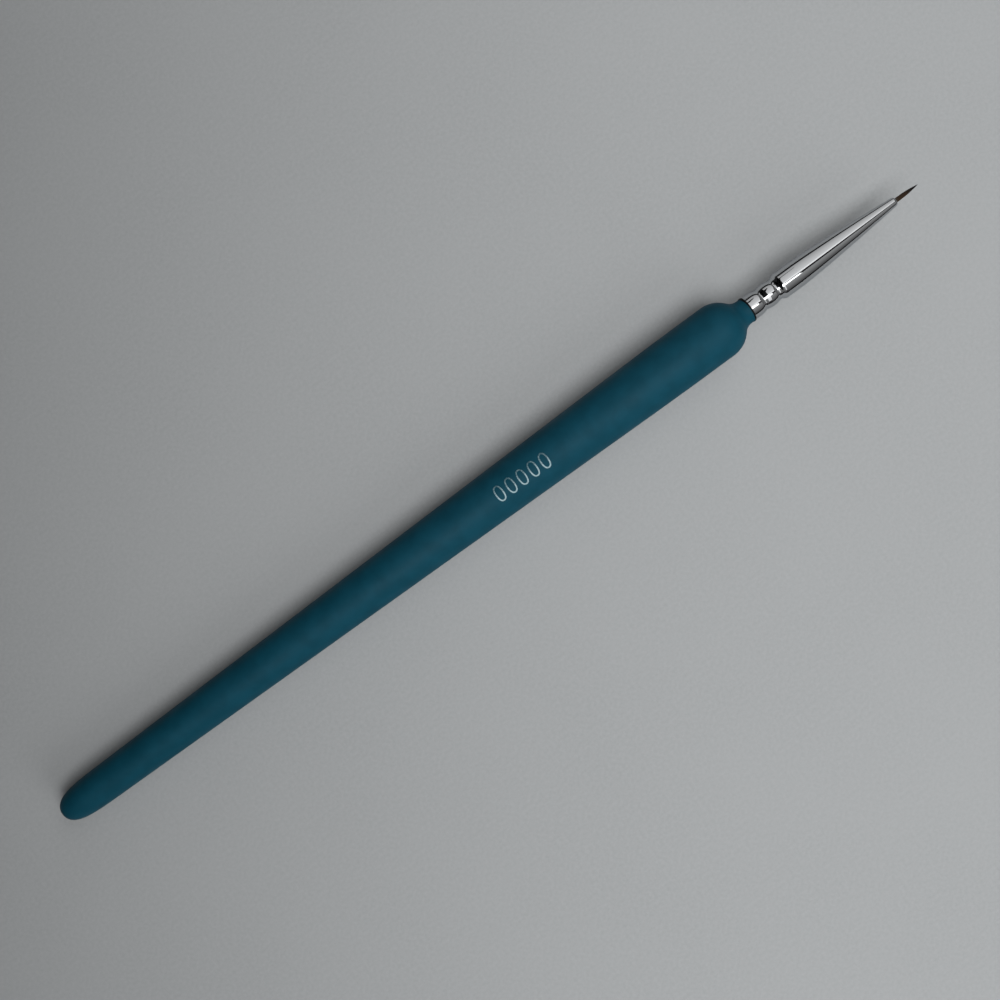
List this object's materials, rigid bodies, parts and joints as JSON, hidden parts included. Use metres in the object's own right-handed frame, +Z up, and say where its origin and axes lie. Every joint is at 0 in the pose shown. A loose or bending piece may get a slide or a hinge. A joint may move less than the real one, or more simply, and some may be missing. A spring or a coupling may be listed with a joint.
{
  "type": "fine detail brush",
  "caption": "Slim painting brush with a tapered soft-touch handle, a crimped metal ferrule and a pointed hair tuft that flexes and springs back, lying on its grip.",
  "frame": {"origin": "on the surface that the brush lies on, under the middle of its length", "axes": "+X along the brush towards the hair tip as seen from above, +Y to the left of that, +Z up; the brush's own axis rises 0.84 degrees towards the tip because the tapered grip lies flat"},
  "size_m": [0.18, 0.0098, 0.01],
  "materials": {
    "soft_coat": "matte soft-touch lacquer, teal blue",
    "wood": "turned hardwood, bare under the coat",
    "foil": "pale silver hot-stamped foil",
    "nickel": "polished nickel plate on drawn brass tube",
    "glue": "clear amber epoxy",
    "hair": "smooth red-brown hair with dark tips",
    "thread": "fine off-white thread"
  },
  "bodies": {
    "handle": {"handle_core": "wood", "handle_coat": "soft_coat", "size_mark": "foil", "ferrule": "nickel", "tenon_glue": "glue", "hair_root": "hair", "root_binding": "thread", "root_glue": "glue"},
    "tuft": {"hair_tuft": "hair"}
  },
  "joints": [
    {"name": "tuft_flex", "type": "hinge", "parent": "handle", "child": "tuft", "pos_m": [0.08551, 0, 0.00561], "axis": [0, 1, 0], "range_deg": [-50, 50], "stiffness_Nm_per_rad": 0.0001}
  ]
}
